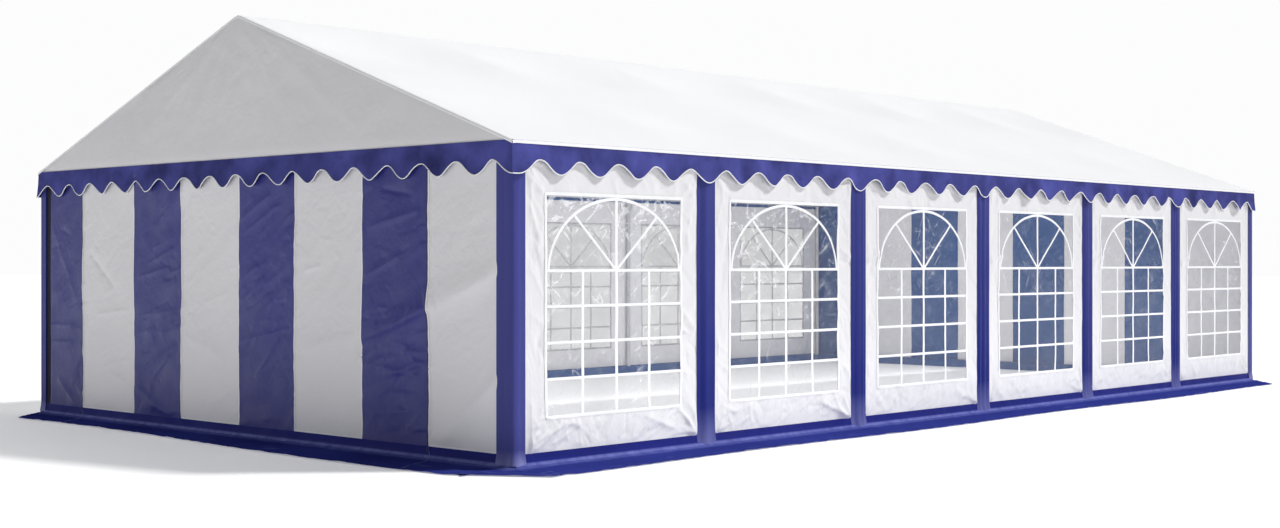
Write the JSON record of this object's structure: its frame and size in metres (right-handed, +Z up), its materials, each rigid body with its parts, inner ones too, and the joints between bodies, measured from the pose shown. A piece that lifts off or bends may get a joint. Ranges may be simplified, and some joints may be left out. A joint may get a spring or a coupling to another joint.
{
  "type": "party tent",
  "caption": "Long gabled party tent: steel tube frame, white roof, blue scalloped valance, windowed side walls, striped end walls with zipped door flaps, and a ground skirt.",
  "frame": {"origin": "on the ground at the middle of the tent", "axes": "+X along the ridge, from the front end wall to the back one; +Y to the left side, seen from the front end; +Z up"},
  "size_m": [13.089, 6.94, 3.32],
  "materials": {
    "white_pvc": "white PVC-coated fabric, satin",
    "blue_pvc": "dark blue PVC-coated fabric, satin",
    "clear_film": "clear PVC window film",
    "galvanised_steel": "galvanised steel tube"
  },
  "bodies": {
    "root": {"side_frame_left": "galvanised_steel", "side_frame_right": "galvanised_steel", "rafter_pair_1": "galvanised_steel", "rafter_pair_2": "galvanised_steel", "rafter_pair_3": "galvanised_steel", "rafter_pair_4": "galvanised_steel", "rafter_pair_5": "galvanised_steel", "rafter_pair_6": "galvanised_steel", "rafter_pair_7": "galvanised_steel", "ridge_tube": "galvanised_steel", "purlin_left": "galvanised_steel", "purlin_right": "galvanised_steel", "ground_bar_front": "galvanised_steel", "ground_bar_back": "galvanised_steel", "roof_cover": "white_pvc", "gable_front": "white_pvc", "gable_back": "white_pvc", "valance_left": "blue_pvc", "valance_right": "blue_pvc", "valance_front": "blue_pvc", "valance_back": "blue_pvc", "side_wall_left_1": "white_pvc", "side_wall_left_2": "white_pvc", "side_wall_left_3": "white_pvc", "side_wall_left_4": "white_pvc", "side_wall_left_5": "white_pvc", "side_wall_left_6": "white_pvc", "side_wall_right_1": "white_pvc", "side_wall_right_2": "white_pvc", "side_wall_right_3": "white_pvc", "side_wall_right_4": "white_pvc", "side_wall_right_5": "white_pvc", "side_wall_right_6": "white_pvc", "window_film_left": "clear_film", "window_film_right": "clear_film", "front_wall_left": "blue_pvc", "front_door_flap": "white_pvc", "front_wall_right": "white_pvc", "back_wall_left": "blue_pvc", "back_door_flap": "white_pvc", "back_wall_right": "white_pvc", "post_cover_left_1": "blue_pvc", "post_cover_left_2": "blue_pvc", "post_cover_left_3": "blue_pvc", "post_cover_left_4": "blue_pvc", "post_cover_left_5": "blue_pvc", "post_cover_right_1": "blue_pvc", "post_cover_right_2": "blue_pvc", "post_cover_right_3": "blue_pvc", "post_cover_right_4": "blue_pvc", "post_cover_right_5": "blue_pvc", "corner_cover_front_left": "blue_pvc", "corner_cover_front_right": "blue_pvc", "corner_cover_back_left": "blue_pvc", "corner_cover_back_right": "blue_pvc", "ground_skirt": "blue_pvc"}
  },
  "joints": []
}
